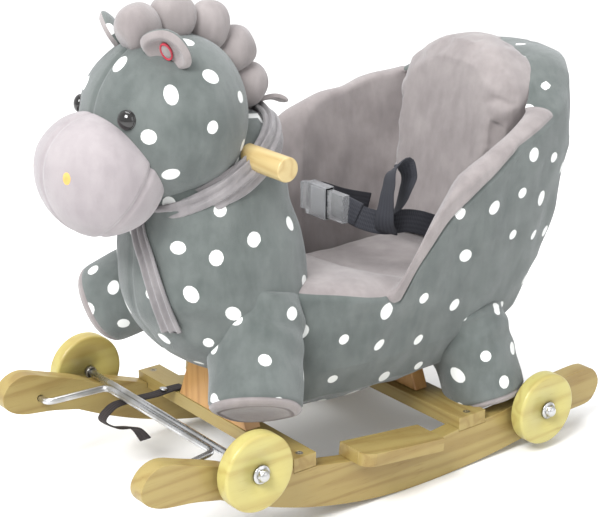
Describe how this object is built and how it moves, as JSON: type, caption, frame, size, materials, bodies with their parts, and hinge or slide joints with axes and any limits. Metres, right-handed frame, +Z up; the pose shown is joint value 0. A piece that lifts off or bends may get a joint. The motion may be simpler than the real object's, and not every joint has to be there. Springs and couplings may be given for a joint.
{
  "type": "rocking horse",
  "caption": "Plush rocking horse with a padded chair seat on curved wooden rockers, with wheels and a front axle that swings down for rolling.",
  "frame": {"origin": "centre of the bounding box at floor level, with the rockers standing on the floor", "axes": "+Z up, the horse faces -Y, its left side is +X"},
  "size_m": [0.3488, 0.627, 0.5197],
  "materials": {
    "pine": "clear matt varnish on pale pine",
    "wheel_wood": "clear matt varnish, turned",
    "orange_wood": "clear matt varnish, warmer plank",
    "plywood": "bare plywood",
    "steel": "bright zinc or nickel plate",
    "screw_steel": "yellow passivated, dull",
    "strap": "black woven strap",
    "webbing": "dark woven webbing",
    "buckle": "clear to pale grey moulded plastic",
    "grey_plush": "short pile velour with pale dots",
    "pale_plush": "short pile velour, warm pale grey",
    "eye_black": "polished black",
    "sound_case": "matt black",
    "sound_button": "embroidered mark on fleece"
  },
  "bodies": {
    "horse": {"rocker_left": "pine", "rocker_right": "pine", "front_crossbar": "pine", "rear_crossbar": "pine", "footrest_left": "pine", "footrest_right": "pine", "front_crossbar_screw_left": "screw_steel", "rear_crossbar_screw_left": "screw_steel", "footrest_screw_left_front": "screw_steel", "footrest_screw_left_rear": "screw_steel", "front_crossbar_screw_right": "screw_steel", "rear_crossbar_screw_right": "screw_steel", "footrest_screw_right_front": "screw_steel", "footrest_screw_right_rear": "screw_steel", "front_post": "orange_wood", "rear_post": "orange_wood", "handle_bar": "pine", "seat_board": "plywood", "back_board": "plywood", "cap_nut_rear_left": "steel", "cap_nut_rear_right": "steel", "rear_axle_bolt_left": "steel", "rear_axle_bolt_right": "steel", "axle_strap": "strap", "body_shell": "grey_plush", "seat_cushion": "pale_plush", "back_cushion": "pale_plush", "neck": "grey_plush", "head": "grey_plush", "muzzle": "pale_plush", "eye_left": "eye_black", "eye_right": "eye_black", "ear_left": "pale_plush", "ear_right": "pale_plush", "sound_module": "sound_case", "mane": "pale_plush", "scarf": "pale_plush", "front_leg_left": "grey_plush", "front_leg_right": "grey_plush", "hind_leg_left": "grey_plush", "hind_leg_right": "grey_plush", "belt_left": "webbing", "belt_right": "webbing", "buckle_socket": "buckle"},
    "front_axle_frame": {"crank_rod": "steel", "front_axle": "steel", "axle_collar_left": "steel", "axle_collar_right": "steel", "cap_nut_front_left": "steel", "cap_nut_front_right": "steel"},
    "front_left_wheel": {"wheel_front_left": "wheel_wood"},
    "front_right_wheel": {"wheel_front_right": "wheel_wood"},
    "rear_left_wheel": {"wheel_rear_left": "wheel_wood"},
    "rear_right_wheel": {"wheel_rear_right": "wheel_wood"},
    "ear_button": {"sound_button": "sound_button"},
    "buckle_half": {"buckle_tongue": "buckle"}
  },
  "joints": [
    {"name": "axle_swing", "type": "hinge", "parent": "horse", "child": "front_axle_frame", "pos_m": [0, -0.2635, 0.0893], "axis": [1, 0, 0], "range_deg": [0, 262]},
    {"name": "front_left_wheel_spin", "type": "hinge", "parent": "front_axle_frame", "child": "front_left_wheel", "pos_m": [0.1561, -0.1885, 0.0916], "axis": [1, 0, 0], "continuous": true},
    {"name": "front_right_wheel_spin", "type": "hinge", "parent": "front_axle_frame", "child": "front_right_wheel", "pos_m": [-0.1561, -0.1885, 0.0916], "axis": [1, 0, 0], "continuous": true},
    {"name": "rear_left_wheel_spin", "type": "hinge", "parent": "horse", "child": "rear_left_wheel", "pos_m": [0.1561, 0.2005, 0.0491], "axis": [1, 0, 0], "continuous": true},
    {"name": "rear_right_wheel_spin", "type": "hinge", "parent": "horse", "child": "rear_right_wheel", "pos_m": [-0.1561, 0.2005, 0.0491], "axis": [1, 0, 0], "continuous": true},
    {"name": "ear_button_press", "type": "slide", "parent": "horse", "child": "ear_button", "axis": [-0.3719, 0.7903, 0.487], "range_m": [0, 0.0023], "stiffness_N_per_m": 300},
    {"name": "buckle_release", "type": "slide", "parent": "horse", "child": "buckle_half", "axis": [1, 0, 0], "range_m": [0, 0.024], "deforming": ["belt_left"]}
  ]
}
